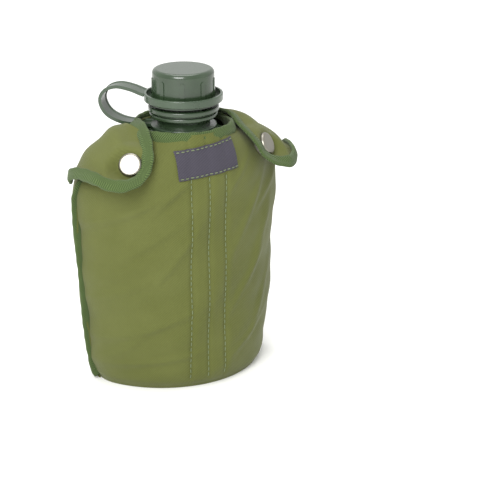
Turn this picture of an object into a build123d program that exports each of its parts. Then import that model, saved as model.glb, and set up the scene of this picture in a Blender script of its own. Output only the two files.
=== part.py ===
from build123d import *
import os
from functools import lru_cache
from math import cos, radians, sin, sqrt, tan

# A one-quart canteen in a soft cover: a kidney-shaped moulded bottle with a screw cap on a
# tether, held in a twill cover whose two shoulder flaps snap shut on the front.
# Millimetres. +Z is up, the front faces -Y, and the origin is on the neck's axis at the
# plane that the cover rests on.

os.makedirs("parts", exist_ok=True)

# Cover cloth
cloth = 1.6                  # twill with its bonded lining
cloth_gap = 0.3              # between the bottle and the cover
seam_gap = 0.1               # between two panels at a seam
flap_lift = 3.3              # room under a flap for the snap

# Bottle body: a kidney section of four tangent arcs
base_width = 118.0
top_width = 136.0
front_depth = 34.0           # from the neck axis to the front
back_depth = 22.0            # from the neck axis to the hollow of the back
base_back_depth = 24.0       # the same at the base, where the hollow is narrower
end_radius = 26.0
end_offset = 13.0            # how far the rounded ends sit behind the neck axis
base_round = 9.0
bottle_wall = 1.8
shoulder_start = 130.0       # height where the sides begin to turn in
shoulder_radius = 32.0
shoulder_turn = 65.0         # degrees turned before the straight slope to the neck
dome_start = 152.0           # height where the front begins to turn in

# Neck
neck_root = 22.2             # half-width where the shoulder ends
neck_root_depth = 20.9       # and half its depth
neck_root_end = 19.4         # and the radius of its rounded ends
waist_radius = 17.4
waist_height = 8.3
lower_bead_radius = 22.4
lower_bead_height = 2.8
bead_groove_radius = 20.8
bead_groove_height = 1.0
upper_bead_radius = 23.3
upper_bead_height = 3.4
finish_height = 19.6         # from the upper bead to the rim
finish_radius = 16.8
bore_radius = 15.0

# Thread, right-handed, one start
lead = 5.0
thread_depth = 1.5
thread_root = 2.6
thread_tip = 1.0
thread_sink = 0.3            # how far a ridge is sunk into its wall
neck_turns = 1.75
cap_turns = 1.5
thread_slack = 0.3           # radial room between a ridge and the other wall

# Cap
cap_radius = 20.4
cap_roof = 3.0
cap_gap = 1.6                # between the upper bead and the cap
cap_round = 3.0
flange_radius = 22.4
flange_height = 1.6
ring_groove_radius = 19.8
ring_groove_height = 1.5
rib_count = 9
rib_width = 3.0
rib_proud = 0.5
rib_length = 14.0
rib_azimuth = -119.0         # degrees round the neck of the first rib
gasket_thickness = 1.8
gasket_gap = 0.1
gasket_slack = 0.2           # radial room round the gasket in the cap

# Tether
turn_gap = 0.08              # radial clearance of a ring that turns
ring_lift = 0.7
neck_ring_radius = 22.0
neck_ring_height = 2.2
cap_ring_radius = 26.0
cap_ring_wall = 1.7
cap_ring_height = 5.0
cap_ring_web = 1.2
strap_width = 12.5
strap_thickness = 1.6
strap_rim_width = 1.5
strap_rim_thickness = 2.4
strap_azimuth = 138.0        # degrees round the neck
strap_lower_reach = 43.0
strap_reach = 55.5
strap_rise = 26.0            # from the lower run to the upper run
strap_gap = 0.4
strap_bends = [8, 8, 8, 7, 8]    # radii of the strap's five bends
strap_low_corner = 9.0       # heights and reaches of the corners of the strap's loop
strap_high_corner = 8.0
strap_fold_back = 13.0
strap_landing = 9.0
ring_edge = 0.6              # rounding of the neck ring's outer edges
cap_ring_edge = 0.7          # and of the cap ring's

# Flaps, drawn on a plane that faces each front shoulder
flap_turn = 45.0             # degrees from the front towards the side
flap_tilt = 42.0             # degrees up
flap_centre = (-48.0, -12.0, 158.0)
binding_width = 8.0
binding_thickness = 2.2
flap_corner = 9.0
flap_edge = [(-2, 29), (21, -1), (9, -26), (-17, -29), (-31, -13)]  # hinge's top to its foot
hem_width = 8.0

# Snap fasteners
snap_spot = (6.0, -5.0)      # on the flap's plane
snap_cap_radius = 7.7
snap_cap_height = 2.4
snap_seat = 0.3              # how far the cap presses into the cloth
snap_barrel_radius = 2.0
snap_head_height = 1.4
stud_seat = 0.35             # how far the stud's flange stands off the cloth under its middle
snap_socket_radius = 5.6
snap_bore_radius = 4.2
snap_stud_radius = 5.4
snap_head_radius = 2.6
snap_neck_radius = 2.0
snap_flange = 0.7
snap_gap = 0.3

# The hole in the cover that the neck comes through, and the binding round it
collar_half_width = 28.6
collar_front = 28.6          # from the neck axis
collar_foot = 6.5            # depth of the hole below the shoulder's top
band_wall = 2.0
band_sink = 1.2              # below the shoulder's top
front_band_rise = 2.8        # above it
back_band_rise = 0.1

# Label and belt hook
label_width = 40.0
label_height = 18.0
label_thickness = 0.5
label_centre = (-0.5, 158.0)
label_turn = 5.0
hook_wire = 3.2
hook_width = 24.0
hook_length = 40.0
hook_return = 9.0
hook_tip = 13.0
hook_bend = 4.4
hook_height = 157.0          # height of the hook's crossbar
tab_width = 19.0
tab_length = 50.0
tab_thickness = 2.0
tab_gap = 0.2

# Heights that follow from the sizes above
base_height = cloth + cloth_gap
turn = radians(shoulder_turn)
slope_start_x = top_width / 2 - shoulder_radius * (1 - cos(turn))
slope_start_z = shoulder_start + shoulder_radius * sin(turn)
neck_base = slope_start_z + (slope_start_x - neck_root) / tan(turn)
waist_top = neck_base + waist_height
groove_base = waist_top + lower_bead_height
upper_bead_base = groove_base + bead_groove_height
bead_top = upper_bead_base + upper_bead_height
rim_height = bead_top + finish_height
cap_base = bead_top + cap_gap
cap_ceiling = rim_height + gasket_gap + gasket_thickness
cap_top = cap_ceiling + cap_roof
cap_bore = finish_radius + thread_depth + thread_slack
groove_floor = cap_base + flange_height
thread_start = rim_height - thread_root - neck_turns * lead - 2.0

cover_grow = cloth_gap + cloth
flap_inner = cover_grow + flap_lift
flap_outer = flap_inner + cloth


def write(piece, name):
    """Label a finished piece and write it as its own file."""
    piece.part.label = name
    export_step(piece.part, f"parts/{name}.step")


# ---------------------------------------------------------------- the kidney form

def kidney(half_width, front, back, radius, offset_y, height):
    """One level section: a front arc, two rounded ends and a hollow back, all tangent."""
    centre_x = half_width - radius
    reach = offset_y + front
    front_arc = (centre_x**2 + reach**2 - radius**2) / (2 * (reach - radius))
    hollow = offset_y - back
    back_arc = (centre_x**2 + hollow**2 - radius**2) / (2 * (radius + hollow))
    end = Vector(centre_x, offset_y)
    front_centre = Vector(0, front_arc - front)
    back_centre = Vector(0, back + back_arc)
    front_touch = front_centre + (end - front_centre).normalized() * front_arc
    back_touch = end + (back_centre - end) * (radius / (back_arc + radius))
    side = end + Vector(radius, 0)
    with BuildSketch(Plane.XY.offset(height)) as section:
        with BuildLine():
            ThreePointArc((-front_touch.X, front_touch.Y), (0, -front), front_touch)
            ThreePointArc(front_touch, side, back_touch)
            ThreePointArc(back_touch, (0, back), (-back_touch.X, back_touch.Y))
            ThreePointArc(
                (-back_touch.X, back_touch.Y), (-side.X, side.Y), (-front_touch.X, front_touch.Y)
            )
        make_face()
    return section.sketch


def shoulder_section(height, grow):
    """The bottle's section at a height between the shoulder's start and the neck."""
    climb = (height - shoulder_start) / (neck_base - shoulder_start)
    if height < slope_start_z:
        rise = height - shoulder_start
        half_width = top_width / 2 - shoulder_radius + sqrt(shoulder_radius**2 - rise**2)
    else:
        half_width = slope_start_x - (height - slope_start_z) * tan(turn)
    dome = max(0.0, (height - dome_start) / (neck_base - dome_start))
    front = neck_root_depth + (front_depth - neck_root_depth) * sqrt(max(0.0, 1 - dome**2))
    radius = end_radius + (neck_root_end - end_radius) * climb
    offset_y = end_offset * (1 - climb)
    back = back_depth + (neck_root_depth - back_depth) * climb
    return kidney(half_width + grow, front + grow, back + grow, radius + grow, offset_y, height + grow)


@lru_cache
def bottle_form(grow):
    """The bottle's outer form without its neck, grown by a wall or a clearance."""
    base = kidney(
        base_width / 2 + grow,
        front_depth + grow,
        base_back_depth + grow,
        end_radius + grow,
        end_offset,
        base_height - grow,
    )
    slope = neck_base - slope_start_z
    levels = [
        shoulder_start,
        (shoulder_start + dome_start) / 2,
        dome_start,
        slope_start_z,
        slope_start_z + slope * 0.4,
        slope_start_z + slope * 0.72,
        neck_base,
    ]
    with BuildPart() as form:
        loft([base, shoulder_section(shoulder_start, grow)], ruled=True)
        fillet(form.faces().sort_by(Axis.Z)[0].edges(), base_round + grow)
        loft([shoulder_section(height, grow) for height in levels])
    return form.part


def thread_ridge(wall_radius, out, start, turns):
    """A helical ridge on a wall; out is 1 for the neck's thread and -1 for the cap's."""
    sink = -out * thread_sink
    tip = out * thread_depth
    with BuildPart() as ridge:
        with BuildLine() as path:
            Helix(pitch=lead, height=turns * lead, radius=wall_radius, center=(0, 0, start))
        with BuildSketch(Plane(origin=path.line @ 0, x_dir=(1, 0, 0), z_dir=path.line % 0)):
            with BuildLine():
                Polyline(
                    (sink, -thread_root / 2),
                    (tip, -thread_tip / 2),
                    (tip, thread_tip / 2),
                    (sink, thread_root / 2),
                    close=True,
                )
            make_face()
        sweep(path=path.line, is_frenet=True)
    return ridge.part


# ---------------------------------------------------------------- bottle, cap and gasket

outer_form = bottle_form(0)

with BuildPart() as bottle_body:
    add(outer_form)
    with BuildSketch(Plane.XZ):
        with BuildLine():
            Polyline(
                (0, neck_base - 1),
                (waist_radius, neck_base - 1),
                (waist_radius, waist_top),
                (lower_bead_radius, waist_top),
                (lower_bead_radius, groove_base),
                (bead_groove_radius, groove_base),
                (bead_groove_radius, upper_bead_base),
                (upper_bead_radius, upper_bead_base),
                (upper_bead_radius, bead_top),
                (finish_radius, bead_top),
                (finish_radius, rim_height),
                (0, rim_height),
                close=True,
            )
        make_face()
    revolve(axis=Axis.Z)
    beads = bottle_body.edges().filter_by(GeomType.CIRCLE).filter_by(
        lambda edge: edge.radius > bead_groove_radius + 0.1 and edge.center().Z > waist_top - 0.1
    )
    fillet(beads, 0.9)
    add(thread_ridge(finish_radius, 1, thread_start, neck_turns))
    add(bottle_form(-bottle_wall), mode=Mode.SUBTRACT)
    with BuildSketch(Plane.XY.offset(neck_base - 4 * bottle_wall)):
        Circle(bore_radius)
    extrude(until=Until.LAST, mode=Mode.SUBTRACT)

write(bottle_body, "bottle_body")

with BuildPart() as screw_cap:
    with BuildSketch(Plane.XZ):
        with BuildLine():
            Polyline(
                (cap_bore, cap_base),
                (flange_radius, cap_base),
                (flange_radius, groove_floor),
                (ring_groove_radius, groove_floor),
                (ring_groove_radius, groove_floor + ring_groove_height),
                (cap_radius, groove_floor + ring_groove_height),
                (cap_radius, cap_top),
                (0, cap_top),
                (0, cap_ceiling),
                (cap_bore, cap_ceiling),
                close=True,
            )
        make_face()
    revolve(axis=Axis.Z)
    fillet(screw_cap.faces().sort_by(Axis.Z)[-1].edges(), cap_round)
    rib_middle = groove_floor + ring_groove_height + rib_length / 2 + 0.2
    for index in range(rib_count):
        angle = radians(rib_azimuth + index * 360 / rib_count)
        radial = Vector(cos(angle), sin(angle))
        rib_foot = radial * (cap_radius - 1) + Vector(0, 0, rib_middle)
        with BuildSketch(Plane(origin=rib_foot, x_dir=(0, 0, 1), z_dir=radial)):
            SlotOverall(rib_length, rib_width)
        extrude(amount=1 + rib_proud)
    add(thread_ridge(cap_bore, -1, thread_start - lead / 2, cap_turns))

write(screw_cap, "screw_cap")

with BuildPart() as cap_gasket:
    with BuildSketch(Plane.XY.offset(rim_height + gasket_gap)):
        Circle(cap_bore - gasket_slack)
    extrude(amount=gasket_thickness)

write(cap_gasket, "cap_gasket")

# ---------------------------------------------------------------- tether

def outer_rims(ring, radius):
    """The round edges of a ring that have its outer radius."""
    circles = ring.edges().filter_by(GeomType.CIRCLE)
    return circles.filter_by(lambda edge: abs(edge.radius - radius) < 0.01)


with BuildPart() as tether_neck_ring:
    with BuildSketch(Plane.XY.offset(neck_base + ring_lift)):
        Circle(neck_ring_radius)
        Circle(waist_radius + turn_gap, mode=Mode.SUBTRACT)
    extrude(amount=neck_ring_height)
    fillet(outer_rims(tether_neck_ring, neck_ring_radius), ring_edge)

write(tether_neck_ring, "tether_neck_ring")

cap_ring_base = groove_floor + (ring_groove_height - cap_ring_web) / 2

with BuildPart() as tether_cap_ring:
    with BuildSketch(Plane.XY.offset(cap_ring_base)):
        Circle(cap_ring_radius)
        Circle(ring_groove_radius + turn_gap, mode=Mode.SUBTRACT)
    extrude(amount=cap_ring_web)
    with BuildSketch(Plane.XY.offset(cap_ring_base + cap_ring_web)):
        Circle(cap_ring_radius)
        Circle(cap_ring_radius - cap_ring_wall, mode=Mode.SUBTRACT)
    extrude(amount=cap_ring_height - cap_ring_web)
    fillet(outer_rims(tether_cap_ring, cap_ring_radius), cap_ring_edge)

write(tether_cap_ring, "tether_cap_ring")

strap_angle = radians(strap_azimuth)
strap_out = Vector(cos(strap_angle), sin(strap_angle))
strap_plane = Plane(origin=(0, 0, 0), x_dir=strap_out, z_dir=strap_out.cross(Vector(0, 0, 1)))
strap_low = neck_base + ring_lift + neck_ring_height / 2
strap_high = strap_low + strap_rise
strap_end = cap_ring_base + cap_ring_height / 2
strap_route = [
    (neck_ring_radius + strap_gap / 4, strap_low),
    (strap_lower_reach, strap_low),
    (strap_reach, strap_low + strap_low_corner),
    (strap_reach, strap_high - strap_high_corner),
    (strap_reach - strap_fold_back, strap_high),
    (cap_ring_radius + strap_landing, strap_high - 1),
    (cap_ring_radius + strap_gap + strap_rim_thickness / 2, strap_end),
]
rim_middle = (strap_width - strap_rim_width) / 2

with BuildPart() as tether_strap:
    for centre, thickness, width in (
        (0, strap_thickness, strap_width),
        (rim_middle, strap_rim_thickness, strap_rim_width),
        (-rim_middle, strap_rim_thickness, strap_rim_width),
    ):
        with BuildSketch(strap_plane.offset(centre)):
            with BuildLine():
                FilletPolyline(strap_route, radius=strap_bends)
            trace(line_width=thickness)
        extrude(amount=width / 2, both=True)

write(tether_strap, "tether_strap")

# ---------------------------------------------------------------- cover panels

seam_line = [
    (-2 * front_depth, -base_height),
    (end_offset, -base_height),
    (end_offset, shoulder_start),
    (0, neck_base + flap_outer),
    (-2 * front_depth, neck_base + flap_outer),
]


def front_half(grow):
    """Everything in front of the side seams, as a solid, grown backwards by half a seam gap."""
    with BuildPart() as side:
        with BuildSketch(Plane.YZ):
            with BuildLine():
                Polyline([(y + grow if y > -front_depth else y, z) for y, z in seam_line], close=True)
            make_face()
        extrude(amount=top_width, both=True)
    return side.part


def collar(inset, low, high):
    """The oval of the neck's hole, drawn in by an inset, between two heights."""
    collar_back = back_depth + cover_grow
    depth = (collar_front + collar_back) / 2
    with BuildPart() as oval:
        with BuildSketch(Plane.XY.offset(low)):
            with Locations((0, collar_back - depth)):
                Ellipse(collar_half_width - inset, depth - inset)
        extrude(amount=high - low)
    return oval.part


collar_low = neck_base - collar_foot
front_of_seam = front_half(-seam_gap / 2)
front_and_seam = front_half(seam_gap / 2)
neck_hole = collar(-seam_gap / 2, collar_low, neck_base + flap_outer)


@lru_cache
def skin(inner, outer):
    """The layer between two grown forms of the bottle."""
    with BuildPart() as layer:
        add(bottle_form(outer))
        add(bottle_form(inner), mode=Mode.SUBTRACT)
    return layer.part


with BuildPart() as cover_skin:
    add(skin(cloth_gap, cover_grow))
    add(neck_hole, mode=Mode.SUBTRACT)

with BuildPart() as base_slab:
    with BuildSketch(Plane.XY):
        Rectangle(2 * top_width, 4 * front_depth)
    extrude(amount=cloth)

with BuildPart() as cover_bottom:
    add(cover_skin.part)
    add(base_slab.part, mode=Mode.INTERSECT)

write(cover_bottom, "cover_bottom")

with BuildPart() as cover_walls:
    add(cover_skin.part)
    with BuildSketch(Plane.XY):
        Rectangle(2 * top_width, 4 * front_depth)
    extrude(amount=cloth + seam_gap, mode=Mode.SUBTRACT)


# ---------------------------------------------------------------- flaps

def flap_plane():
    """The plane that the left flap is drawn on; the right flap is its mirror image."""
    across = radians(flap_turn)
    up = radians(flap_tilt)
    facing = Vector(-cos(up) * sin(across), -cos(up) * cos(across), sin(up))
    return Plane(origin=flap_centre, x_dir=(cos(across), -sin(across), 0), z_dir=facing)


def flap_prism(shape):
    """A flap's outline, its free edges' binding or its hem, as a prism through the shoulder."""
    with BuildPart() as prism:
        with BuildSketch(flap_plane()):
            with BuildLine():
                if shape != "hem":
                    FilletPolyline(flap_edge, radius=flap_corner)
                if shape != "binding":
                    Line(flap_edge[-1], flap_edge[0])
            if shape == "outline":
                make_face()
            else:
                trace(line_width=binding_width if shape == "binding" else hem_width)
        extrude(amount=front_depth, both=True)
    return prism.part


def nearest_hit(form, axis):
    """Where an axis, followed backwards, first meets a form, with the outward normal there."""
    hits = [hit for face in form.faces() for hit in face.find_intersection_points(axis)]
    point, normal = max(hits, key=lambda hit: (hit[0] - axis.position).dot(axis.direction))
    return point, normal if normal.dot(axis.direction) > 0 else -normal


def snap_plane():
    """The plane of the left snap, square to the flap's outer face."""
    plane = flap_plane()
    spot = plane.from_local_coords(Vector(snap_spot[0], snap_spot[1], 0))
    point, normal = nearest_hit(bottle_form(flap_outer), Axis(spot, plane.z_dir))
    return Plane(origin=point, z_dir=normal)


def depth_below(plane, grow):
    """How far below a snap's plane a grown form lies, along the snap's axis."""
    point, _ = nearest_hit(bottle_form(grow), Axis(plane.origin, plane.z_dir))
    return (plane.origin - point).dot(plane.z_dir)


def disc(plane, height, thickness, radius, hole=0):
    """A disc, or a ring, that stands on a plane's offset."""
    with BuildPart() as round_piece:
        with BuildSketch(plane.offset(height)):
            Circle(radius)
            if hole:
                Circle(hole, mode=Mode.SUBTRACT)
        extrude(amount=thickness)
    return round_piece.part


left_snap = snap_plane()
flap_depth = depth_below(left_snap, flap_inner)
cover_depth = depth_below(left_snap, cover_grow)
lining_depth = depth_below(left_snap, cloth_gap)
stud_top = snap_flange - cover_depth
socket_foot = stud_top + snap_gap
socket_height = cover_depth - flap_depth - snap_flange - snap_gap
head_top = -flap_depth - snap_flange - snap_gap

with BuildPart() as snap_cap:
    add(disc(left_snap, -snap_seat, snap_cap_height + snap_seat, snap_cap_radius))
    crown = snap_cap.edges().sort_by(Axis(left_snap.origin, left_snap.z_dir))[-1]
    fillet(crown, snap_cap_height * 0.7)
    add(disc(left_snap, -flap_depth, flap_depth, snap_barrel_radius))

with BuildPart() as snap_socket:
    add(disc(left_snap, socket_foot, socket_height - snap_flange, snap_socket_radius, snap_bore_radius))
    add(disc(left_snap, -flap_depth - snap_flange, snap_flange, snap_socket_radius))

with BuildPart() as snap_stud:
    add(disc(left_snap, stud_seat - cover_depth, snap_flange - stud_seat, snap_stud_radius))
    add(disc(left_snap, stud_top, head_top - stud_top, snap_neck_radius))
    add(disc(left_snap, head_top - snap_head_height, snap_head_height, snap_head_radius))

with BuildPart() as snap_post:
    add(disc(left_snap, -lining_depth, lining_depth - cover_depth + stud_seat, snap_neck_radius))

with BuildPart() as flap:
    add(skin(flap_inner, flap_outer))
    add(flap_prism("outline"), mode=Mode.INTERSECT)
    add(flap_prism("binding"), mode=Mode.SUBTRACT)
    for foot, height, radius in (
        (-snap_seat, snap_cap_height, snap_cap_radius),
        (-2 * flap_depth, 2 * flap_depth, snap_barrel_radius),
        (socket_foot, socket_height, snap_socket_radius),
    ):
        add(disc(left_snap, foot, height, radius + seam_gap), mode=Mode.SUBTRACT)

binding_spread = (binding_thickness - cloth) / 2
with BuildPart() as flap_binding:
    add(skin(flap_inner - binding_spread, flap_outer + binding_spread))
    add(flap_prism("binding"), mode=Mode.INTERSECT)

with BuildPart() as hem:
    add(skin(cover_grow - cloth / 2, flap_inner - cloth_gap))
    add(flap_prism("hem"), mode=Mode.INTERSECT)
    add(front_and_seam, mode=Mode.SUBTRACT)

snap_hole = disc(left_snap, -lining_depth - cloth, lining_depth + cloth, snap_neck_radius + seam_gap)

for left_piece, name in (
    (snap_cap, "snap_cap"),
    (snap_socket, "snap_socket"),
    (snap_stud, "snap_stud"),
    (snap_post, "snap_post"),
    (flap, "flap"),
    (flap_binding, "flap_binding"),
):
    with BuildPart() as right_piece:
        add(mirror(left_piece.part, about=Plane.YZ, mode=Mode.PRIVATE))
    write(left_piece, f"left_{name}")
    write(right_piece, f"right_{name}")

with BuildPart() as cover_front:
    add(cover_walls.part)
    add(front_of_seam, mode=Mode.INTERSECT)
    add(snap_hole, mode=Mode.SUBTRACT)
    add(mirror(snap_hole, about=Plane.YZ, mode=Mode.PRIVATE), mode=Mode.SUBTRACT)

write(cover_front, "cover_front")

with BuildPart() as cover_back:
    add(cover_walls.part)
    add(front_and_seam, mode=Mode.SUBTRACT)
    add(hem.part)
    add(mirror(hem.part, about=Plane.YZ, mode=Mode.PRIVATE))
    add(neck_hole, mode=Mode.SUBTRACT)

write(cover_back, "cover_back")

def neck_band(rise):
    """The binding that stands in the neck's hole, up to a rise above the shoulder's top."""
    with BuildPart() as band:
        add(collar(0, neck_base - band_sink, neck_base + rise))
        add(collar(band_wall, neck_base - band_sink, neck_base + rise), mode=Mode.SUBTRACT)
    return band.part


with BuildPart() as front_binding:
    add(neck_band(front_band_rise))
    add(front_of_seam, mode=Mode.INTERSECT)

write(front_binding, "front_binding")

with BuildPart() as back_binding:
    add(neck_band(back_band_rise))
    add(front_and_seam, mode=Mode.SUBTRACT)

write(back_binding, "back_binding")

# ---------------------------------------------------------------- label and belt hook

with BuildPart() as front_label:
    with BuildSketch(Plane.XZ):
        with Locations(label_centre):
            Rectangle(label_width, label_height, rotation=label_turn)
    extrude(amount=2 * front_depth)
    add(bottle_form(cover_grow + seam_gap / 2 + label_thickness), mode=Mode.INTERSECT)
    add(bottle_form(cover_grow + seam_gap / 2), mode=Mode.SUBTRACT)

write(front_label, "front_label")

tab_foot = hook_height - tab_length
tab_touches = [
    nearest_hit(bottle_form(cover_grow), Axis((tab_width / 2, 0, height), (0, 1, 0)))[0].Y
    for height in (tab_foot, (tab_foot + hook_height) / 2, hook_height)
]
tab_face = max(tab_touches) + tab_gap
wire_radius = hook_wire / 2
loop_radius = wire_radius + turn_gap
crossbar_y = tab_face + tab_thickness + loop_radius

with BuildPart() as hook_strap:
    with BuildSketch(Plane.YZ):
        with Locations((crossbar_y, hook_height)):
            Circle(loop_radius + tab_thickness)
        with Locations((tab_face, tab_foot)):
            Rectangle(tab_thickness, tab_length, align=(Align.MIN, Align.MIN))
        with Locations((crossbar_y, hook_height)):
            Circle(loop_radius, mode=Mode.SUBTRACT)
    extrude(amount=tab_width / 2, both=True)

write(hook_strap, "hook_strap")

hook_foot = hook_height - hook_length
tip_y = crossbar_y + hook_return
half_hook = hook_width / 2
hook_route = [
    (half_hook, tip_y, hook_foot + hook_tip),
    (half_hook, tip_y, hook_foot),
    (half_hook, crossbar_y, hook_foot),
    (half_hook, crossbar_y, hook_height),
    (-half_hook, crossbar_y, hook_height),
    (-half_hook, crossbar_y, hook_foot),
    (-half_hook, tip_y, hook_foot),
    (-half_hook, tip_y, hook_foot + hook_tip),
]
corner_bend = (hook_width - tab_width) / 2 - 0.2
hook_bends = [hook_bend, hook_bend, corner_bend, corner_bend, hook_bend, hook_bend]

with BuildPart() as belt_hook:
    with BuildLine() as hook_line:
        FilletPolyline(hook_route, radius=hook_bends)
    with BuildSketch(Plane(origin=hook_route[0], z_dir=(0, 0, -1))):
        Circle(wire_radius)
    sweep(path=hook_line.line)

write(belt_hook, "belt_hook")

print("neck base", round(neck_base, 2), "cap top", round(cap_top, 2), "rim", round(rim_height, 2))
print("hook crossbar", round(crossbar_y, 3), hook_height)
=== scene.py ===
# %% [markdown]
# # A field canteen in its cover
# This lesson dresses a working model of a one-quart canteen. The hard parts (bottle, cap, tether
# rings, snaps, wire hook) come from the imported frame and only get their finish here. The cloth
# parts are made anew, because cloth is never as tidy as the solids that stand in for it.

# %% Load the frame
import bpy
import math
import numpy as np
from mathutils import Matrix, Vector


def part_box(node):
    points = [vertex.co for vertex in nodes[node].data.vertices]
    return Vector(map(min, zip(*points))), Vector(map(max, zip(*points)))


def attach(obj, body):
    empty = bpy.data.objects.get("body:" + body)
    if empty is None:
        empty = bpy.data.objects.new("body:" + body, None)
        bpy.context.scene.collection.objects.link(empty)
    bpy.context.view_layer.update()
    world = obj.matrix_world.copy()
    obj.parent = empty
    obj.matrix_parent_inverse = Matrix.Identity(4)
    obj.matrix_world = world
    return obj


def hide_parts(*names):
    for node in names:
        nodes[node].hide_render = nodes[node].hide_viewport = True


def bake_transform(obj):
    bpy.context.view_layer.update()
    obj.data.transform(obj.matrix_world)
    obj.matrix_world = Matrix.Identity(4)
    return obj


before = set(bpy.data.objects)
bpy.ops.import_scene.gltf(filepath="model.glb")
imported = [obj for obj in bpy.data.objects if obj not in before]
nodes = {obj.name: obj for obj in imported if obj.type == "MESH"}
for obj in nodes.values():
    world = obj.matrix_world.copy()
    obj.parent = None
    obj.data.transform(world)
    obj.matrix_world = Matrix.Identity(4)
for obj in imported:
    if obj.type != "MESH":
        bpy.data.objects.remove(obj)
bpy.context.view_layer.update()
mm = 0.001
print("nodes in the frame:", len(nodes))

# %% [markdown]
# ## Stage, light and camera
# A product like this is shown on a pale sweep under large soft lights, so that the folds of the
# cloth read by shade and not by hard shadows. The camera stands a little to the left of the
# front and looks down by about twenty degrees with a long lens, which keeps the sides straight.

# %% Floor, lights and camera
def linear(code):
    """An sRGB hex colour as linear RGBA."""
    parts = [int(code[i:i + 2], 16) / 255 for i in (0, 2, 4)]
    return [c / 12.92 if c <= 0.04045 else ((c + 0.055) / 1.055) ** 2.4 for c in parts] + [1.0]


def add_node(tree, kind, settings=None, inputs=None):
    """One shader node with its settings and its values or links."""
    made = tree.nodes.new(kind)
    for key, value in (settings or {}).items():
        setattr(made, key, value)
    for key, value in (inputs or {}).items():
        if isinstance(value, bpy.types.NodeSocket):
            tree.links.new(value, made.inputs[key])
        else:
            made.inputs[key].default_value = value
    return made


def new_material(name):
    """An empty material with its Principled shader."""
    made = bpy.data.materials.new(name)
    made.use_nodes = True
    return made, made.node_tree, made.node_tree.nodes["Principled BSDF"]


def activate(piece):
    """Select one object alone and make it the active one."""
    bpy.ops.object.select_all(action="DESELECT")
    piece.select_set(True)
    bpy.context.view_layer.objects.active = piece


floor_paint, tree, shader = new_material("matt white sweep")
shader.inputs["Base Color"].default_value = linear("F7F7F5")
shader.inputs["Roughness"].default_value = 0.9
bpy.ops.object.select_all(action="DESELECT")
bpy.ops.mesh.primitive_plane_add(size=8)
floor = bpy.context.object
floor.name = "floor"
floor.data.materials.append(floor_paint)

world = bpy.data.worlds.new("soft white room")
world.use_nodes = True
world.node_tree.nodes["Background"].inputs["Color"].default_value = linear("FFFFFF")
world.node_tree.nodes["Background"].inputs["Strength"].default_value = 0.95
bpy.context.scene.world = world


def soft_light(name, place, aim, size, power):
    """A square area light that faces a point."""
    bpy.ops.object.light_add(type="AREA", location=place)
    light = bpy.context.object
    light.name = name
    light.data.size = size
    light.data.energy = power
    light.rotation_euler = (Vector(aim) - Vector(place)).to_track_quat("-Z", "Y").to_euler()


middle = (0, 0, 0.11)
soft_light("key_light", (-0.9, -0.9, 1.0), middle, 0.8, 24)
soft_light("fill_light", (1.1, -0.9, 0.7), middle, 1.0, 0.5)
soft_light("top_light", (0.1, 0.3, 1.4), middle, 0.9, 8)

azimuth, elevation, distance = math.radians(-29.0), math.radians(19.7), 1.2
back = Vector((
    math.sin(azimuth) * math.cos(elevation),
    -math.cos(azimuth) * math.cos(elevation),
    math.sin(elevation),
))
right = Vector((math.cos(azimuth), math.sin(azimuth), 0))
upward = back.cross(right)
aim = Vector((0, 0, 0.105)) + right * 0.0435 - upward * 0.018
bpy.ops.object.camera_add(location=aim + back * distance)
camera = bpy.context.object
camera.rotation_euler = (-back).to_track_quat("-Z", "Y").to_euler()
camera.data.lens = 128.9
camera.data.sensor_width = 36
bpy.context.scene.camera = camera
bpy.context.scene.view_settings.view_transform = "Standard"
print("camera at", [round(c, 3) for c in camera.location])

# %% [markdown]
# ## Finishes for the hard parts
# The bottle, cap and tether are moulded polyethylene: a waxy plastic with a soft, broad gloss and
# faint flow marks. The snaps are brass pressed thin and nickel plated, so they mirror the room
# with a slight warmth. The hook is thick wire with a dark plated finish.

# %% Moulded plastic, rubber and metal
def moulded_plastic(name, colour, shade, roughness, grain):
    """Injection-moulded polyethylene: waxy, softly glossy, a little uneven in tone."""
    made, tree, shader = new_material(name)
    place = add_node(tree, "ShaderNodeTexCoord")
    cloud = add_node(tree, "ShaderNodeTexNoise", {}, {
        "Vector": place.outputs["Object"], "Scale": 60.0, "Detail": 4.0, "Roughness": 0.6,
    })
    ramp = add_node(tree, "ShaderNodeValToRGB", {}, {"Fac": cloud.outputs["Fac"]})
    ramp.color_ramp.elements[0].color = linear(shade)
    ramp.color_ramp.elements[0].position = 0.3
    ramp.color_ramp.elements[1].color = linear(colour)
    ramp.color_ramp.elements[1].position = 0.7
    tree.links.new(ramp.outputs["Color"], shader.inputs["Base Color"])
    gloss = add_node(tree, "ShaderNodeMapRange", {}, {
        "Value": cloud.outputs["Fac"], "To Min": roughness - 0.05, "To Max": roughness + 0.07,
    })
    tree.links.new(gloss.outputs["Result"], shader.inputs["Roughness"])
    skin = add_node(tree, "ShaderNodeTexNoise", {}, {
        "Vector": place.outputs["Object"], "Scale": grain, "Detail": 3.0,
    })
    bump = add_node(tree, "ShaderNodeBump", {}, {
        "Height": skin.outputs["Fac"], "Strength": 0.12, "Distance": 0.0002,
    })
    tree.links.new(bump.outputs["Normal"], shader.inputs["Normal"])
    shader.inputs["IOR"].default_value = 1.51
    shader.inputs["Coat Weight"].default_value = 0.25
    shader.inputs["Coat Roughness"].default_value = 0.18
    return made


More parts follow.
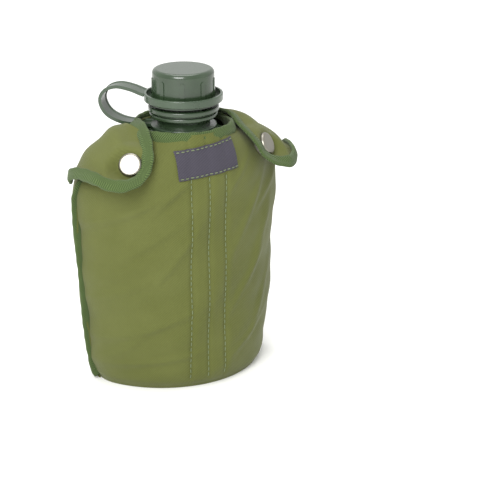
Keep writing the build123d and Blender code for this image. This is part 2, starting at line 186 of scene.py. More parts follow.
def plated_metal(name, colour, roughness, scratch_scale):
    """Plated metal: a mirror dulled by fine handling scratches."""
    made, tree, shader = new_material(name)
    place = add_node(tree, "ShaderNodeTexCoord")
    wear = add_node(tree, "ShaderNodeTexNoise", {}, {
        "Vector": place.outputs["Object"], "Scale": scratch_scale, "Detail": 6.0, "Roughness": 0.7,
    })
    spread = add_node(tree, "ShaderNodeMapRange", {}, {
        "Value": wear.outputs["Fac"], "To Min": roughness * 0.6, "To Max": roughness * 1.5,
    })
    tree.links.new(spread.outputs["Result"], shader.inputs["Roughness"])
    bump = add_node(tree, "ShaderNodeBump", {}, {
        "Height": wear.outputs["Fac"], "Strength": 0.1, "Distance": 0.0001,
    })
    tree.links.new(bump.outputs["Normal"], shader.inputs["Normal"])
    shader.inputs["Base Color"].default_value = linear(colour)
    shader.inputs["Metallic"].default_value = 1.0
    return made


def seal_rubber():
    """Black seal rubber: dull, with a dusty bloom."""
    made, tree, shader = new_material("black nitrile rubber, moulded")
    place = add_node(tree, "ShaderNodeTexCoord")
    dust = add_node(tree, "ShaderNodeTexNoise", {}, {
        "Vector": place.outputs["Object"], "Scale": 220.0, "Detail": 4.0,
    })
    ramp = add_node(tree, "ShaderNodeValToRGB", {}, {"Fac": dust.outputs["Fac"]})
    ramp.color_ramp.elements[0].color = linear("151515")
    ramp.color_ramp.elements[1].color = linear("2C2C2B")
    tree.links.new(ramp.outputs["Color"], shader.inputs["Base Color"])
    shader.inputs["Roughness"].default_value = 0.75
    return made


plastic = moulded_plastic("dark green polyethylene, moulded gloss", "2E3F2A", "263523", 0.24, 900.0)
tether_plastic = moulded_plastic(
    "green flexible polyethylene, moulded", "344531", "2C3C2A", 0.28, 1100.0)
nickel = plated_metal("nickel-plated brass, domed and buffed", "8E8B80", 0.34, 350.0)
wire = plated_metal("dark zinc-plated steel wire", "6E6C66", 0.34, 500.0)
rubber = seal_rubber()


def finish_node(name, material):
    """Give every slot of a frame node one material."""
    piece = nodes[name]
    if not piece.data.materials:
        piece.data.materials.append(material)
    for index in range(len(piece.data.materials)):
        piece.data.materials[index] = material


for name in ("bottle_body", "screw_cap"):
    finish_node(name, plastic)
for name in ("tether_neck_ring", "tether_cap_ring"):
    finish_node(name, tether_plastic)
finish_node("cap_gasket", rubber)
finish_node("belt_hook", wire)
for side in ("left", "right"):
    for part in ("cap", "socket", "stud", "post"):
        finish_node(f"{side}_snap_{part}", nickel)
print("hard parts finished")

# %% [markdown]
# ## Cloth finishes
# The cover is olive nylon twill: a diagonal rib about 1.2 mm apart (drawn a little coarse so that
# it shows), a dull sheen, and paler tone where folds have rubbed. The binding is a green tape
# woven in herringbone: rows of slanting ribs that change direction from row to row. Both
# patterns follow the cloth's own UV map, which is laid out in metres.

# %% Twill, herringbone tape, webbing, label and thread
def uv_parts(tree):
    """The cloth's own coordinates in metres, split into along and across."""
    uv = add_node(tree, "ShaderNodeUVMap", {"uv_map": "UVMap"})
    return add_node(tree, "ShaderNodeSeparateXYZ", {}, {"Vector": uv.outputs["UV"]})


def maths(tree, operation, first, second=0.0, third=0.0):
    """One Math node's output."""
    made = add_node(tree, "ShaderNodeMath", {"operation": operation},
                    {0: first, 1: second, 2: third})
    return made.outputs[0]


def cloth_shader(rib, dark, light, rub, roughness, depth, tree_setup):
    """Shared ending of the cloth materials: colour from the rib, bump, a soft sheen."""
    made, tree, shader = tree_setup
    place = add_node(tree, "ShaderNodeTexCoord")
    cloud = add_node(tree, "ShaderNodeTexNoise", {}, {
        "Vector": place.outputs["Object"], "Scale": 24.0, "Detail": 5.0, "Roughness": 0.6,
    })
    fuzz = add_node(tree, "ShaderNodeTexNoise", {}, {
        "Vector": place.outputs["Object"], "Scale": 1500.0, "Detail": 2.0,
    })
    weave = add_node(tree, "ShaderNodeMix", {"data_type": "RGBA"}, {
        0: rib, 6: linear(dark), 7: linear(light),
    })
    patch = add_node(tree, "ShaderNodeMapRange", {}, {
        "Value": cloud.outputs["Fac"], "From Min": 0.35, "From Max": 0.75, "To Max": 0.55,
    })
    rubbed = add_node(tree, "ShaderNodeMix", {"data_type": "RGBA"}, {
        0: patch.outputs["Result"], 6: weave.outputs[2], 7: linear(rub),
    })
    tree.links.new(rubbed.outputs[2], shader.inputs["Base Color"])
    height = maths(tree, "MULTIPLY_ADD", fuzz.outputs["Fac"], 0.35, rib)
    bump = add_node(tree, "ShaderNodeBump", {},
                    {"Height": height, "Strength": 0.6, "Distance": depth})
    tree.links.new(bump.outputs["Normal"], shader.inputs["Normal"])
    shader.inputs["Roughness"].default_value = roughness
    shader.inputs["Sheen Weight"].default_value = 0.1
    shader.inputs["Sheen Roughness"].default_value = 0.45
    shader.inputs["Specular IOR Level"].default_value = 0.2
    return made


def twill(name, dark, light, rub, pitch):
    """Twill: slanting ribs at one even pitch."""
    setup = new_material(name)
    tree = setup[1]
    uv = uv_parts(tree)
    slant = maths(tree, "MULTIPLY_ADD", uv.outputs["X"], 0.75, uv.outputs["Y"])
    wave = maths(tree, "SINE", maths(tree, "MULTIPLY", slant, 2 * math.pi / pitch))
    rib = maths(tree, "MULTIPLY_ADD", wave, 0.5, 0.5)
    return cloth_shader(rib, dark, light, rub, 0.72, 0.00025, setup)


def herringbone(name, dark, light, rub, pitch, rows, width):
    """Tape whose slanting ribs turn the other way in each row."""
    setup = new_material(name)
    tree = setup[1]
    uv = uv_parts(tree)
    zigzag = maths(tree, "PINGPONG", uv.outputs["Y"], width / rows)
    slant = maths(tree, "ADD", uv.outputs["X"], zigzag)
    wave = maths(tree, "SINE", maths(tree, "MULTIPLY", slant, 2 * math.pi / pitch))
    rib = maths(tree, "MULTIPLY_ADD", wave, 0.5, 0.5)
    return cloth_shader(rib, dark, light, rub, 0.8, 0.0005, setup)


olive_twill = twill("olive nylon twill, washed", "454A1F", "5C612E", "606536", 1.2 * mm)
green_tape = herringbone(
    "green cotton herringbone tape", "243316", "56673B", "4D6034", 1.5 * mm, 4, 15 * mm)
green_webbing = herringbone(
    "green woven webbing", "283318", "515D35", "47532C", 1.8 * mm, 8, 19 * mm)
label_weave = twill("dark grey damask-woven label", "2B2931", "4A4751", "403D47", 1.1 * mm)
thread = twill("pale green polyester thread", "63704E", "7D8768", "737E5C", 0.5 * mm)
print("cloth finishes ready")

# %% [markdown]
# ## Tools for cloth
# Real cloth starts as a flat piece, so each piece here starts as a flat grid whose rows are then
# laid over the form. The grid keeps the weave straight: its UV map is measured along the laid
# rows, in metres, so a 1.2 mm rib stays 1.2 mm wherever the cloth goes. Folds are pushed out
# along the cloth's own normal, then the sheet gets its thickness.

# %% Grids laid over a form
def laid_grid(name, places, material, thickness, push=None, offset=-1.0):
    """A grid of cloth laid on a table of places (rows, columns, 3), with a metric UV map."""
    if push is not None:
        places = places + grid_normals(places) * push[..., None]
    rows, columns = places.shape[0] - 1, places.shape[1] - 1
    bpy.ops.object.select_all(action="DESELECT")
    bpy.ops.mesh.primitive_grid_add(x_subdivisions=columns, y_subdivisions=rows, size=2)
    piece = bpy.context.object
    piece.name = name
    mesh = piece.data
    flat = np.empty(len(mesh.vertices) * 3)
    mesh.vertices.foreach_get("co", flat)
    flat = flat.reshape(-1, 3)
    column = np.rint((flat[:, 0] + 1) / 2 * columns).astype(int)
    row = np.rint((flat[:, 1] + 1) / 2 * rows).astype(int)
    mesh.vertices.foreach_set("co", places[row, column].ravel())
    along, across = measured(places)
    corner = np.empty(len(mesh.loops), dtype=int)
    mesh.loops.foreach_get("vertex_index", corner)
    uv = np.stack([along[row, column], across[row, column]], axis=1)[corner]
    mesh.uv_layers["UVMap"].uv.foreach_set("vector", uv.ravel())
    mesh.update()
    piece.data.materials.append(material)
    activate(piece)
    if thickness:
        solid = piece.modifiers.new("thickness", "SOLIDIFY")
        solid.thickness = thickness
        solid.offset = offset
        bpy.ops.object.modifier_apply(modifier=solid.name)
    bpy.ops.object.shade_smooth_by_angle(angle=math.radians(50))
    return piece


def grid_normals(places):
    """Unit normals of a laid grid."""
    down, over = np.gradient(places, axis=0), np.gradient(places, axis=1)
    normal = np.cross(over, down)
    return normal / np.maximum(np.linalg.norm(normal, axis=2, keepdims=True), 1e-9)


def measured(places):
    """Lengths along the rows, from the middle, and up the columns, in metres."""
    steps = np.linalg.norm(np.diff(places, axis=1), axis=2)
    along = np.concatenate([np.zeros((len(places), 1)), steps.cumsum(axis=1)], axis=1)
    along -= along[:, along.shape[1] // 2][:, None]
    rises = np.linalg.norm(np.diff(places, axis=0), axis=2)
    across = np.concatenate([np.zeros((1, places.shape[1])), rises.cumsum(axis=0)], axis=0)
    return along, across


def smooth_line(points, count):
    """A Catmull-Rom curve through points, resampled evenly."""
    points = np.array(points, dtype=float)
    padded = np.vstack([2 * points[0] - points[1], points, 2 * points[-1] - points[-2]])
    fine = []
    for index in range(len(points) - 1):
        a, b, c, d = padded[index:index + 4]
        t = np.linspace(0, 1, 40, endpoint=False)[:, None]
        fine.append(0.5 * (2 * b + (c - a) * t + (2 * a - 5 * b + 4 * c - d) * t ** 2
                           + (3 * b - a - 3 * c + d) * t ** 3))
    fine = np.vstack(fine + [points[-1:]])
    run = np.concatenate([[0], np.linalg.norm(np.diff(fine, axis=0), axis=1).cumsum()])
    even = np.linspace(0, run[-1], count)
    return np.stack([np.interp(even, run, fine[:, axis]) for axis in range(3)], axis=1)


def flat_size(places):
    """Mean width and length, and the area, of the sheet that a laid grid stands for."""
    along, across = measured(places)
    width = float((along[:, -1] - along[:, 0]).max())
    length = float(across[-1].max())
    over, down = np.diff(places, axis=1)[:-1], np.diff(places, axis=0)[:, :-1]
    area = float(np.linalg.norm(np.cross(over, down), axis=2).sum())
    return width, length, min(area, width * length)


print("cloth tools ready")

# %% [markdown]
# ## The form of the filled cover
# The bottle has a kidney section: a broad front, rounded ends and a hollow back that lies on the
# hip. Around it the cover hangs a little slack, and at the base it is drawn in and sewn to an
# oval bottom. The table gives, at each height, the half-width, the front, the back and the
# rounded ends of that slack outline, all in millimetres.

# %% Outline of the cover at any height
heights = [0, 3, 10, 40, 80, 118, 130, 142, 152, 160, 167, 174]
outline = {
    "half_width": [57, 60.5, 63, 66.5, 69.5, 71.5, 72, 69.5, 62.5, 53, 42, 30],
    "front": [29.5, 33.5, 36.2, 36.8, 36.9, 37, 37, 36.9, 36.5, 35.6, 33.4, 29],
    "back": [20, 23.5, 24.8, 24.8, 24.6, 24.6, 24.6, 24.6, 24.6, 24.6, 24.6, 24.6],
    "end_radius": [25, 27, 28, 28, 28, 28, 28, 26.5, 25, 23.5, 22.3, 21.5],
    "end_offset": [13, 13, 13, 13, 13, 13, 13, 9.6, 6.7, 4.4, 2.3, 0.8],
}


def outline_at(height, name):
    """One size of the outline, eased between the table's heights."""
    near = np.array([-2, -1, 0, 1, 2]) * 1.5 + height
    return float(np.mean(np.interp(near, heights, outline[name])))


def half_section(height, count, side):
    """The right half of the outline at a height: from the middle of one face to the seam."""
    half, front, rear, end, offset = (outline_at(height, name) for name in outline)
    reach = half - end
    if side == "front":
        depth = offset + front
        radius = (reach ** 2 + depth ** 2 - end ** 2) / (2 * (depth - end))
        centre = radius - front
        turn = math.atan2(reach, -(offset - centre))
        sweep = np.linspace(0, turn, 200)
        face = np.stack([radius * np.sin(sweep), centre - radius * np.cos(sweep)], axis=1)
        round_end = np.linspace(turn, math.pi / 2, 80)
    else:
        depth = rear - offset
        radius = (reach ** 2 + depth ** 2 - end ** 2) / (2 * (end - depth))
        toward = np.array([-reach, rear + radius - offset]) / (radius + end)
        turn = math.atan2(toward[0], -toward[1]) % (2 * math.pi)
        start = math.atan2(-toward[0], toward[1])
        sweep = np.linspace(0, start, 200)
        face = np.stack([radius * np.sin(sweep), rear + radius - radius * np.cos(sweep)], axis=1)
        round_end = np.linspace(turn, math.pi / 2, 80)
    ends = np.stack([reach + end * np.sin(round_end), offset - end * np.cos(round_end)], axis=1)
    path = np.vstack([face, ends[1:]])
    run = np.concatenate([[0], np.linalg.norm(np.diff(path, axis=0), axis=1).cumsum()])
    even = np.linspace(0, run[-1], count)
    return np.stack([np.interp(even, run, path[:, axis]) for axis in range(2)], axis=1)


def panel_row(height, count, side):
    """A whole row of a panel, from the left seam to the right seam (mm)."""
    half = half_section(height, count, side)
    whole = np.vstack([half[:0:-1] * [-1, 1], half])
    return np.column_stack([whole, np.full(len(whole), height)])


def wave(x, z, angle, pitch, phase=0.0):
    """A ripple whose crests run at an angle above the x axis."""
    turn = math.radians(angle)
    return np.sin((z * math.cos(turn) - x * math.sin(turn)) * 2 * math.pi / pitch + phase)


def bump_at(x, z, cx, cz, wide, tall, angle=0.0):
    """A soft oval bump."""
    turn = math.radians(angle)
    over = (x - cx) * math.cos(turn) + (z - cz) * math.sin(turn)
    up = (z - cz) * math.cos(turn) - (x - cx) * math.sin(turn)
    return np.exp(-(over / wide) ** 2 - (up / tall) ** 2)


print("outline ready, widest", 2 * max(outline["half_width"]), "mm")

# %% [markdown]
# ## Front panel
# One piece of twill from side seam to side seam, up over the shoulders to the neck. Three rows of
# stitching run down the front and hold pleats flat; between them the cloth puckers a little.
# Loose cloth to the left and right falls in long slanting creases, and near the base it gathers
# where it is sewn to the bottom. The creases are pushed out of the smooth form one by one.

# %% Front panel with its creases and stitch rows
stitch_rows = (-13.8, -1.4, 11.2)


def front_folds(x, z):
    """How far the front cloth stands off its smooth form, in millimetres."""
    calm = np.clip((z - 2) / 12, 0, 1) * np.clip((176 - z) / 10, 0, 1)
    fold = 0.55 * wave(x, z, 38, 47, 0.7) + 0.4 * wave(x, z, 62, 33, 1.9)
    fold += 0.25 * wave(x, z, 24, 19, 0.4) * np.clip(np.abs(x) / 30, 0, 1)
    for cx, cz, wide, tall, angle, height in (
        (-46, 128, 26, 3.4, 28, 1.5), (-40, 104, 30, 3.0, 36, 1.1), (-48, 74, 26, 3.6, 30, 1.2),
        (-36, 46, 28, 3.0, 22, 1.3), (-30, 22, 26, 2.6, 10, 1.2), (-52, 30, 14, 3.0, 48, 1.3),
        (-24, 92, 26, 2.4, 54, 0.9), (-26, 136, 20, 2.6, 44, 1.0), (34, 120, 26, 3.2, 58, 1.5),
        (44, 96, 30, 3.4, 66, 1.4), (30, 70, 26, 3.0, 52, 1.2), (46, 52, 26, 3.2, 60, 1.3),
        (32, 30, 22, 2.8, 34, 1.2), (52, 128, 20, 3.2, 40, 1.4), (24, 146, 15, 2.6, 48, 0.8),
    ):
        fold += height * bump_at(x, z, cx, cz, wide, tall, angle)
    pleats = np.zeros_like(x)
    for row in stitch_rows:
        lean = row + (z - 80) * 0.012
        pleats -= 0.75 * np.exp(-((x - lean) / 1.5) ** 2)
        pleats += 0.4 * np.exp(-((x - lean - 4.5) / 3.2) ** 2) * (0.7 + 0.3 * np.sin(z / 4.1 + row))
    return (fold + pleats) * calm + 0.35


seam_run, front_rows = 220, 230
base_rows = 16    # closer rows where the cloth turns under
levels = np.concatenate([
    np.linspace(0.2, 8, base_rows, endpoint=False),
    np.linspace(8, 174.5, front_rows - base_rows),
])
front_places = np.stack([panel_row(height, seam_run // 2 + 1, "front") for height in levels])
x, z = front_places[..., 0], front_places[..., 2]
front_places = front_places * mm
cover_front = laid_grid("cover_front_panel", front_places, olive_twill, 1.1 * mm,
                        front_folds(x, z) * mm)
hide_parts("cover_front")
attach(cover_front, "cover")
print("front panel", [round(c, 3) for c in flat_size(front_places)])

# %% [markdown]
# ## Back panel and bottom
# The back panel hangs in the hollow of the bottle and is plain, since it lies against the wearer.
# The bottom is a flat oval of the same twill, laid just inside the panels' lower edge.

# %% Back panel and bottom
def back_folds(x, z):
    """Shallow slanting folds of the back panel."""
    calm = np.clip((z - 2) / 12, 0, 1) * np.clip((176 - z) / 10, 0, 1)
    fold = 0.5 * wave(x, z, -32, 41, 0.3) + 0.35 * wave(x, z, 48, 29, 1.1)
    for cx, cz, wide, tall, angle, height in (
        (-34, 118, 26, 3.0, -30, 1.2), (30, 92, 28, 3.2, 34, 1.2), (-28, 58, 26, 3.0, 26, 1.2),
        (34, 30, 24, 2.8, -24, 1.2), (40, 130, 20, 3.0, 52, 1.1), (-46, 24, 18, 2.8, -40, 1.1),
    ):
        fold += height * bump_at(x, z, cx, cz, wide, tall, angle)
    slack = 0.5 + 1.3 * np.clip(np.abs(x) / 9, 0, 1)    # the cloth bridges the hollow's flanks
    return fold * calm * np.clip(np.abs(x) / 14, 0.3, 1) + slack


back_places = np.stack([panel_row(height, seam_run // 2 + 1, "back") for height in levels])[:, ::-1]
x, z = back_places[..., 0], back_places[..., 2]
back_places = back_places * mm
cover_back = laid_grid("cover_back_panel", back_places, olive_twill, 1.1 * mm,
                       back_folds(x, z) * mm)
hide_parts("cover_back")
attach(cover_back, "cover")

base_front = panel_row(0.9, 61, "front")
base_back = panel_row(0.9, 61, "back")
fill = np.linspace(0, 1, 25)[:, None, None]
base_places = (base_front[None] * (1 - fill) + base_back[None] * fill) * [0.995, 0.995, 1] * mm
cover_bottom = laid_grid("cover_bottom_panel", base_places[::-1], olive_twill, 0.8 * mm)
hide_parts("cover_bottom")
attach(cover_bottom, "cover")
print("bottom", [round(c, 3) for c in flat_size(base_places)])

# %% [markdown]
# ## Shoulder flaps
# Each flap is a curved piece of the same twill, sewn to the back panel below the neck and folded
# forward over the shoulder, where one snap holds it. Its free edges are bound with tape. The
# flap is laid through five lines that run from the neck to the outer end: the hinge on the
# back, the crown of the shoulder, the run towards the snap, and the free edge. Cloth under the
# snap is pressed flat, as the cap clamps it.

# %% Flap sheets
snap_centre = {
    side: np.mean(np.array([v.co for v in nodes[f"{side}_snap_cap"].data.vertices]), axis=0) * 1000
    for side in ("left", "right")
}
snap_facing = np.array([-0.595, -0.689, 0.413])
flap_lines = {
    "left": [
        [(-33, 23, 168), (-44, 27, 161), (-57, 26, 149), (-68, 22, 139)],
        [(-37, 14, 175), (-48, 17, 171), (-62, 17, 160), (-75, 14, 146)],
        [(-38.5, 4, 178.2), (-49.5, 4, 175.3), (-62.5, 4, 164.8), (-76.3, 3, 152)],
        [(-36.5, -8, 177), (-44, -15, 169.5), (-58, -22, 160.5), (-76.8, -8, 153)],
        [(-35.8, -14, 174.5), (-39.5, -27, 164), (-51.5, -35.2, 153.2), (-65, -32, 150),
         (-75.2, -17, 152)],
    ],
    "right": [
        [(33, 23, 168), (44, 27, 161), (57, 26, 149), (68, 22, 139)],
        [(36, 16, 175), (47, 18, 170), (61, 17, 159), (74.5, 13, 145)],
        [(35, 6, 177), (47, 4, 173.5), (61, 3, 163), (75.6, 3, 150)],
        [(35, -6, 175), (43, -15, 168.5), (58, -21, 159.5), (76, -8, 150)],
        [(34.5, -14, 172.5), (39, -26, 163), (50.5, -34.6, 152.5), (64, -31.5, 148),
         (74.8, -16, 149.5)],
    ],
}


def pressed_under(places, centre, facing, reach, depth):
    """Cloth pulled to the plane under a snap cap, fading out with the distance."""
    away = places - centre
    height = away @ facing
    flat = np.linalg.norm(away - height[..., None] * facing, axis=-1)
    weight = np.clip((reach - flat) / (reach - 8.2), 0, 1)
    weight = weight * weight * (3 - 2 * weight)
    return places - facing * ((height - depth) * weight)[..., None]


def flap_places(side, columns=90, rows=84):
    """The flap's surface, from the hinge on the back to the free edge on the front (mm)."""
    lines = np.stack([smooth_line(line, columns) for line in flap_lines[side]])
    laid = np.stack([smooth_line(lines[:, column], rows) for column in range(columns)], axis=1)
    u, v = np.meshgrid(np.linspace(0, 1, columns), np.linspace(0, 1, rows))
    if side == "right":
        u = u * 0.96 + 0.02
    push = 0.55 * np.sin(9 * u + 5 * v) + 0.4 * np.sin(14 * u - 7 * v + 1.2)
    push += 1.1 * np.exp(-((u - 0.32) / 0.12) ** 2 - ((v - 0.55) / 0.16) ** 2)
    push += 0.9 * np.exp(-((u - 0.72) / 0.1) ** 2 - ((v - 0.62) / 0.2) ** 2)
    push *= np.clip(v * 6, 0, 1)
    normal = grid_normals(laid)
    outward = np.sign(np.sum(normal * (laid - [0, 4, 120]), axis=2).mean())
    laid = laid + normal * outward * (push + 0.4)[..., None]
    centre = snap_centre[side]
    facing = snap_facing * [1 if side == "left" else -1, 1, 1]
    return pressed_under(laid, centre, facing, 17.0, -1.6), outward


flap_hinge = {
    "left": ((-0.058, 0.023, 0.152), (-0.05, 0.001, 0.172)),
    "right": ((0.058, 0.023, 0.152), (0.05, 0.001, 0.172)),
}
flap_sheet = {}
flap_edge = {}
for side in ("left", "right"):
    laid, outward = flap_places(side)
    flap_edge[side] = laid[-1]
    places = laid * mm if outward > 0 else laid[:, ::-1] * mm
    piece = laid_grid(f"{side}_shoulder_flap", places, olive_twill, 1.3 * mm)
    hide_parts(f"{side}_flap")
    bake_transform(piece)
    flap_sheet[side] = (piece, places)
    print(side, "flap", [round(c, 3) for c in flat_size(places)])

# %% [markdown]
# ## Binding tape
# Every raw edge is folded inside a 15 mm herringbone tape, so it shows as a soft roll, 6 to 8 mm
# wide, along the edge. A roll is a tube with an oval section that follows the edge; its UV map
# runs along and around the roll, which keeps the herringbone rows parallel to the edge.

# %% Rolls of tape along the edges
def tape_roll(name, points, facings, width, thickness):
    """A flattened roll of tape along points (mm); facings are its outward directions."""
    points, facings = np.asarray(points, dtype=float), np.asarray(facings, dtype=float)
    ahead = np.gradient(points, axis=0)
    ahead /= np.linalg.norm(ahead, axis=1, keepdims=True)
    facings = facings - ahead * np.sum(facings * ahead, axis=1, keepdims=True)
    facings /= np.linalg.norm(facings, axis=1, keepdims=True)
    sideways = np.cross(ahead, facings)
    turns = np.linspace(0, 2 * np.pi, 33)
    flatten = 3.0    # how square the roll's oval section is
    wide = np.sign(np.cos(turns)) * np.abs(np.cos(turns)) ** (2 / flatten) * width / 2
    tall = np.sign(np.sin(turns)) * np.abs(np.sin(turns)) ** (2 / flatten) * thickness / 2
    count = len(points)
    pucker = 1 + 0.05 * np.sin(np.arange(count) * 0.55) + 0.04 * np.sin(np.arange(count) * 0.23 + 1)
    roll = (points[:, None] + sideways[:, None] * (wide[None] * pucker[:, None])[..., None]
            + facings[:, None] * tall[None, :, None])
    return laid_grid(name, roll.transpose(1, 0, 2) * mm, green_tape, 0.0)


def capped(piece):
    """Weld a tape's long seam and close its two ends."""
    activate(piece)
    bpy.ops.object.mode_set(mode="EDIT")
    bpy.ops.mesh.select_all(action="SELECT")
    bpy.ops.mesh.remove_doubles(threshold=0.00002)
    bpy.ops.mesh.select_all(action="DESELECT")
    bpy.ops.mesh.select_non_manifold()
    bpy.ops.mesh.edge_face_add()
    bpy.ops.mesh.select_all(action="SELECT")
    bpy.ops.mesh.normals_make_consistent(inside=False)
    bpy.ops.object.mode_set(mode="OBJECT")
    return piece


def facing_at(points, middle=(0, 4, 120)):
    """Outward directions of points on the cover."""
    away = np.asarray(points, dtype=float) - np.array(middle)
    return away / np.linalg.norm(away, axis=1, keepdims=True)


def tape(name, points, width, thickness, facings, body, replaced=None):
    """A capped roll of binding that rides a body, or is fixed in place when body is not a single name."""
    piece = capped(tape_roll(name, points, facings, width, thickness))
    if replaced:
        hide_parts(replaced)
    if isinstance(body, str):
        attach(piece, body)
    else:
        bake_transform(piece)
    return piece


flap_tapes = {}
for side in ("left", "right"):
    sign = -1 if side == "left" else 1
    edge = flap_edge[side]
    start_tuck = np.array([[31.5 * sign, 9, 177], [33.5 * sign, -4, 177.5]])
    curl = np.array([[77.5 * sign, -4, 152.5], [79.0 * sign, 7, 149.0], [75.5 * sign, 14, 144.0]])
    if side == "right":
        curl = np.array([[77.0, -5, 150.5], [79.5, 5, 147.0], [76.5, 13, 140.5]])
    line = smooth_line(np.vstack([start_tuck, edge[::12], curl]), 150)
    flap_tapes[side] = tape(
        f"{side}_flap_tape", line, 8.0, 3.0, facing_at(line),
        ("cover", f"{side}_flap", *flap_hinge[side]), f"{side}_flap_binding",
    )

for side in (-1, 1):
    seam = []
    for height in np.linspace(3, 143, 30):
        half = outline_at(height, "half_width") + 1.2
        sway = 0.8 * math.sin(height / 13 + side)
        seam.append((side * half, outline_at(height, "end_offset") + 0.5 + sway, height))
    line = smooth_line(seam, 180)
    outward = np.stack([np.zeros(len(line)), np.ones(len(line)), np.zeros(len(line))], axis=1)
    tape(f"{'left' if side < 0 else 'right'}_seam_tape", line, 6.0, 2.2, outward, "cover")

front_edge = smooth_line([
    (-31, 3, 171.5), (-30.5, -10, 172.5), (-25, -20, 172.8), (-14, -26.5, 172.6), (0, -28.8, 172.2),
    (14, -26.5, 172.8), (25, -20, 173.2), (30.5, -10, 173), (31, 3, 172),
], 140)
outward = front_edge * [1, 1, 0] / np.linalg.norm(front_edge * [1, 1, 0], axis=1, keepdims=True)
upright = outward + np.array([0, 0, 0.35])
tape("front_neck_tape", front_edge, 7.5, 2.8, upright, "cover", "front_binding")
back_edge = smooth_line([
    (31, 2, 173.5), (29, 14, 174.5), (20, 23, 175.2), (8, 27.2, 175.5), (-8, 27.2, 175.5),
    (-20, 23, 175.2), (-29, 14, 174.5), (-31, 2, 173.5),
], 140)
outward = back_edge * [1, 1, 0] / np.linalg.norm(back_edge * [1, 1, 0], axis=1, keepdims=True)
upright = outward + np.array([0, 0, 0.35])
tape("back_neck_tape", back_edge, 7.5, 2.8, upright, "cover", "back_binding")
print("bindings laid")

# %% [markdown]
# ## Tether strap
# The strap is one moulding with its rings: a flat band with a raised rim on each side that loops
# out and over; the real one bends each time the cap is lifted, but here it is one fixed band of
# twelve corners in section, swept along the loop.

# %% Strap swept from the neck ring to the cap ring
strap_turn = math.radians(138)
strap_out = np.array([math.cos(strap_turn), math.sin(strap_turn), 0])
strap_side = np.array([-math.sin(strap_turn), math.cos(strap_turn), 0])
strap_route = smooth_line([(r, 0, z) for r, z in (
    (20.5, 173.6), (30, 173.4), (41, 174.4), (50, 178.2), (54.5, 184), (55.2, 190), (51.5, 195.4),
    (44, 197.9), (35, 196.6), (28, 194.2), (25.4, 193.4),
)], 110)
ahead = np.gradient(strap_route, axis=0)
ahead /= np.linalg.norm(ahead, axis=1, keepdims=True)
lift = np.stack([-ahead[:, 2], np.zeros(len(ahead)), ahead[:, 0]], axis=1)
profile = np.array([
    (-6.3, 1.1), (-4.9, 1.1), (-4.6, 0.7), (4.6, 0.7), (4.9, 1.1), (6.3, 1.1),
    (6.3, -1.1), (4.9, -1.1), (4.6, -0.7), (-4.6, -0.7), (-4.9, -1.1), (-6.3, -1.1), (-6.3, 1.1),
])
centre_line = strap_route[:, 0:1] * strap_out + strap_route[:, 2:3] * np.array([0, 0, 1])
upward_line = lift[:, 0:1] * strap_out + lift[:, 2:3] * np.array([0, 0, 1])
band = (centre_line[None] + profile[:, 0, None, None] * strap_side
        + profile[:, 1, None, None] * upward_line[None])
strap = capped(laid_grid("tether_band", band * mm, tether_plastic, 0.0))
activate(strap)
bpy.ops.object.shade_smooth_by_angle(angle=math.radians(30))
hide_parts("tether_strap")
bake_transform(strap)
print("strap", len(strap.data.vertices), "points")

# %% [markdown]
# ## Label, stitching and belt tab
# The label is a piece of woven ribbon sewn on along its long edges, left plain here. Three
# rows of pale thread run down the front; each stitch is a short sunken dash, so each is its own small piece of
# thread, 2.7 mm long with a gap between. The tab on the back is webbing folded over the
# hook's wire and sewn down.

# %% Front surface lookup, label and stitches
front_table = np.array([v.co for v in cover_front.data.vertices])
front_table = front_table[front_table[:, 1] < 0]


def on_front(x, z, lift=0.4):
    """A place on the front cloth above which a small part lies (mm)."""
    near = np.argsort((front_table[:, 0] * 1000 - x) ** 2 + (front_table[:, 2] * 1000 - z) ** 2)[:6]
    return np.array([x, front_table[near, 1].min() * 1000 - lift, z])


lean = math.radians(5)
label_middle = (-0.7, 158.4)


def on_label(u, v, lift):
    """A place on the leaning label, u along it and v up it from its middle (mm)."""
    x = label_middle[0] + u * math.cos(lean) - v * math.sin(lean)
    z = label_middle[1] + u * math.sin(lean) + v * math.cos(lean)
    return on_front(x, z, lift)


label_rows, label_columns = 24, 44
label_places = np.zeros((label_rows + 1, label_columns + 1, 3))
for j in range(label_rows + 1):
    for i in range(label_columns + 1):
        u, v = (i / label_columns - 0.5) * 43, (j / label_rows - 0.5) * 19.5
        label_places[j, i] = on_label(u, v, 1.0)
for _ in range(6):
    inner = label_places[1:-1, 1:-1, 1]
    label_places[1:-1, 1:-1, 1] = (inner + label_places[:-2, 1:-1, 1] + label_places[2:, 1:-1, 1]
                                   + label_places[1:-1, :-2, 1] + label_places[1:-1, 2:, 1]) / 5
label = laid_grid("woven_label", label_places * mm, label_weave, 0.7 * mm)
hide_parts("front_label")
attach(label, "cover")

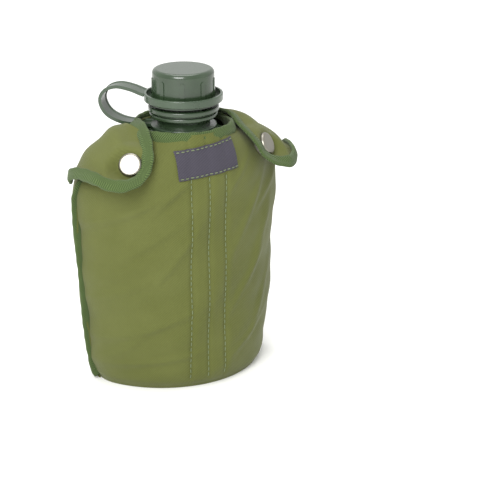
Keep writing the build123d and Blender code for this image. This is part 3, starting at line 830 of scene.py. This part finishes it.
dashes = []
for row in stitch_rows:
    for z_low in np.arange(8, 147.5, 3.9):
        x0 = row + (z_low - 80) * 0.012
        dashes.append((on_front(x0, z_low, 0.35), on_front(x0 + 0.03, z_low + 2.7, 0.35)))
for edge in (-8.6, 8.6):
    for start in np.arange(-20.5, 20, 3.3):
        dashes.append((on_label(start, edge, 1.35), on_label(start + 2.1, edge, 1.35)))
ring_turns = np.linspace(0, 2 * np.pi, 7)[:-1]
corners, faces = [], []
thread_radius = 0.35 * mm
for start, finish_point in dashes:
    start, finish_point = start * mm, finish_point * mm
    run = finish_point - start
    run = run / np.linalg.norm(run)
    out = np.array([0, -1.0, 0]) - run * (-run[1])
    out /= np.linalg.norm(out)
    across = np.cross(run, out)
    first = len(corners)
    for share, size in ((0.0, 0.35), (0.15, 1.0), (0.5, 1.1), (0.85, 1.0), (1.0, 0.35)):
        for turn in ring_turns:
            spot = start + (finish_point - start) * share
            around = math.cos(turn) * across + math.sin(turn) * out
            corners.append(spot + thread_radius * size * around)
    for ring in range(4):
        for turn in range(6):
            a, b = first + ring * 6 + turn, first + ring * 6 + (turn + 1) % 6
            faces.append((a, b, b + 6, a + 6))
    faces.append([first + k for k in range(5, -1, -1)])
    faces.append([first + 24 + k for k in range(6)])
stitch_mesh = bpy.data.meshes.new("front_stitching")
stitch_mesh.from_pydata([tuple(c) for c in corners], [], faces)
stitch_mesh.uv_layers.new(name="UVMap")
stitches = bpy.data.objects.new("front_stitching", stitch_mesh)
bpy.context.collection.objects.link(stitches)
stitch_mesh.materials.append(thread)
activate(stitches)
bpy.ops.object.shade_smooth_by_angle(angle=math.radians(50))
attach(stitches, "cover")
print("stitches", len(dashes))

# %% [markdown]
# ## Belt tab on the back
# A strip of webbing runs down the middle of the hollow back, folds over the hook's crossbar and
# is sewn to the cover below it. It is laid as one folded strip, so that the loop and the two
# layers are one piece of webbing, as they are on the real cover.

# %% Webbing tab folded round the hook's wire
tab_low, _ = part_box("hook_strap")
hook_y, hook_z, loop = 29.739, 157.0, 3.3
under_y = tab_low.y * 1000 + 0.6    # the under layer lies just off the tab's inner face
fold = [(under_y, 107.5), (under_y, 125), (under_y, 142), (26.9, 150.5)]
fold += [(hook_y + loop * math.cos(a), hook_z + loop * math.sin(a))
         for a in np.linspace(math.pi * 1.05, -math.pi * 0.35, 12)]
fold += [(29.6, 150.2), (28.3, 143), (28.2, 132)]
tab_line = smooth_line([(0, y, z) for y, z in fold], 120)
across = np.linspace(-9.2, 9.2, 13)
tab_places = tab_line[:, None] + np.stack([across, 0 * across, 0 * across], axis=1)[None]
tab = laid_grid("belt_tab_webbing", tab_places[:, ::-1] * mm, green_webbing, 1.2 * mm, offset=0.0)
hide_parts("hook_strap")
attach(tab, "cover")
print("tab", [round(c, 3) for c in flat_size(tab_places * mm)])

# %% [markdown]
# ## Flat sizes of the cloth
# Each sheet's flat size is what would be cut from the roll: the length over its folds both ways.

# %% Flat sizes of the sheets
for piece, places, rests in (
    (cover_front, front_places, ["bottle_body"]),
    (cover_back, back_places, ["bottle_body"]),
    (cover_bottom, base_places, ["bottle_body"]),
    (flap_sheet["left"][0], flap_sheet["left"][1], [cover_front, cover_back]),
    (flap_sheet["right"][0], flap_sheet["right"][1], [cover_front, cover_back]),
    (tab, tab_places * mm, [cover_back]),
):
    width, length, area = flat_size(places)
    print(piece.name, "flat", round(width, 3), "by", round(length, 3), "area", round(area, 4))
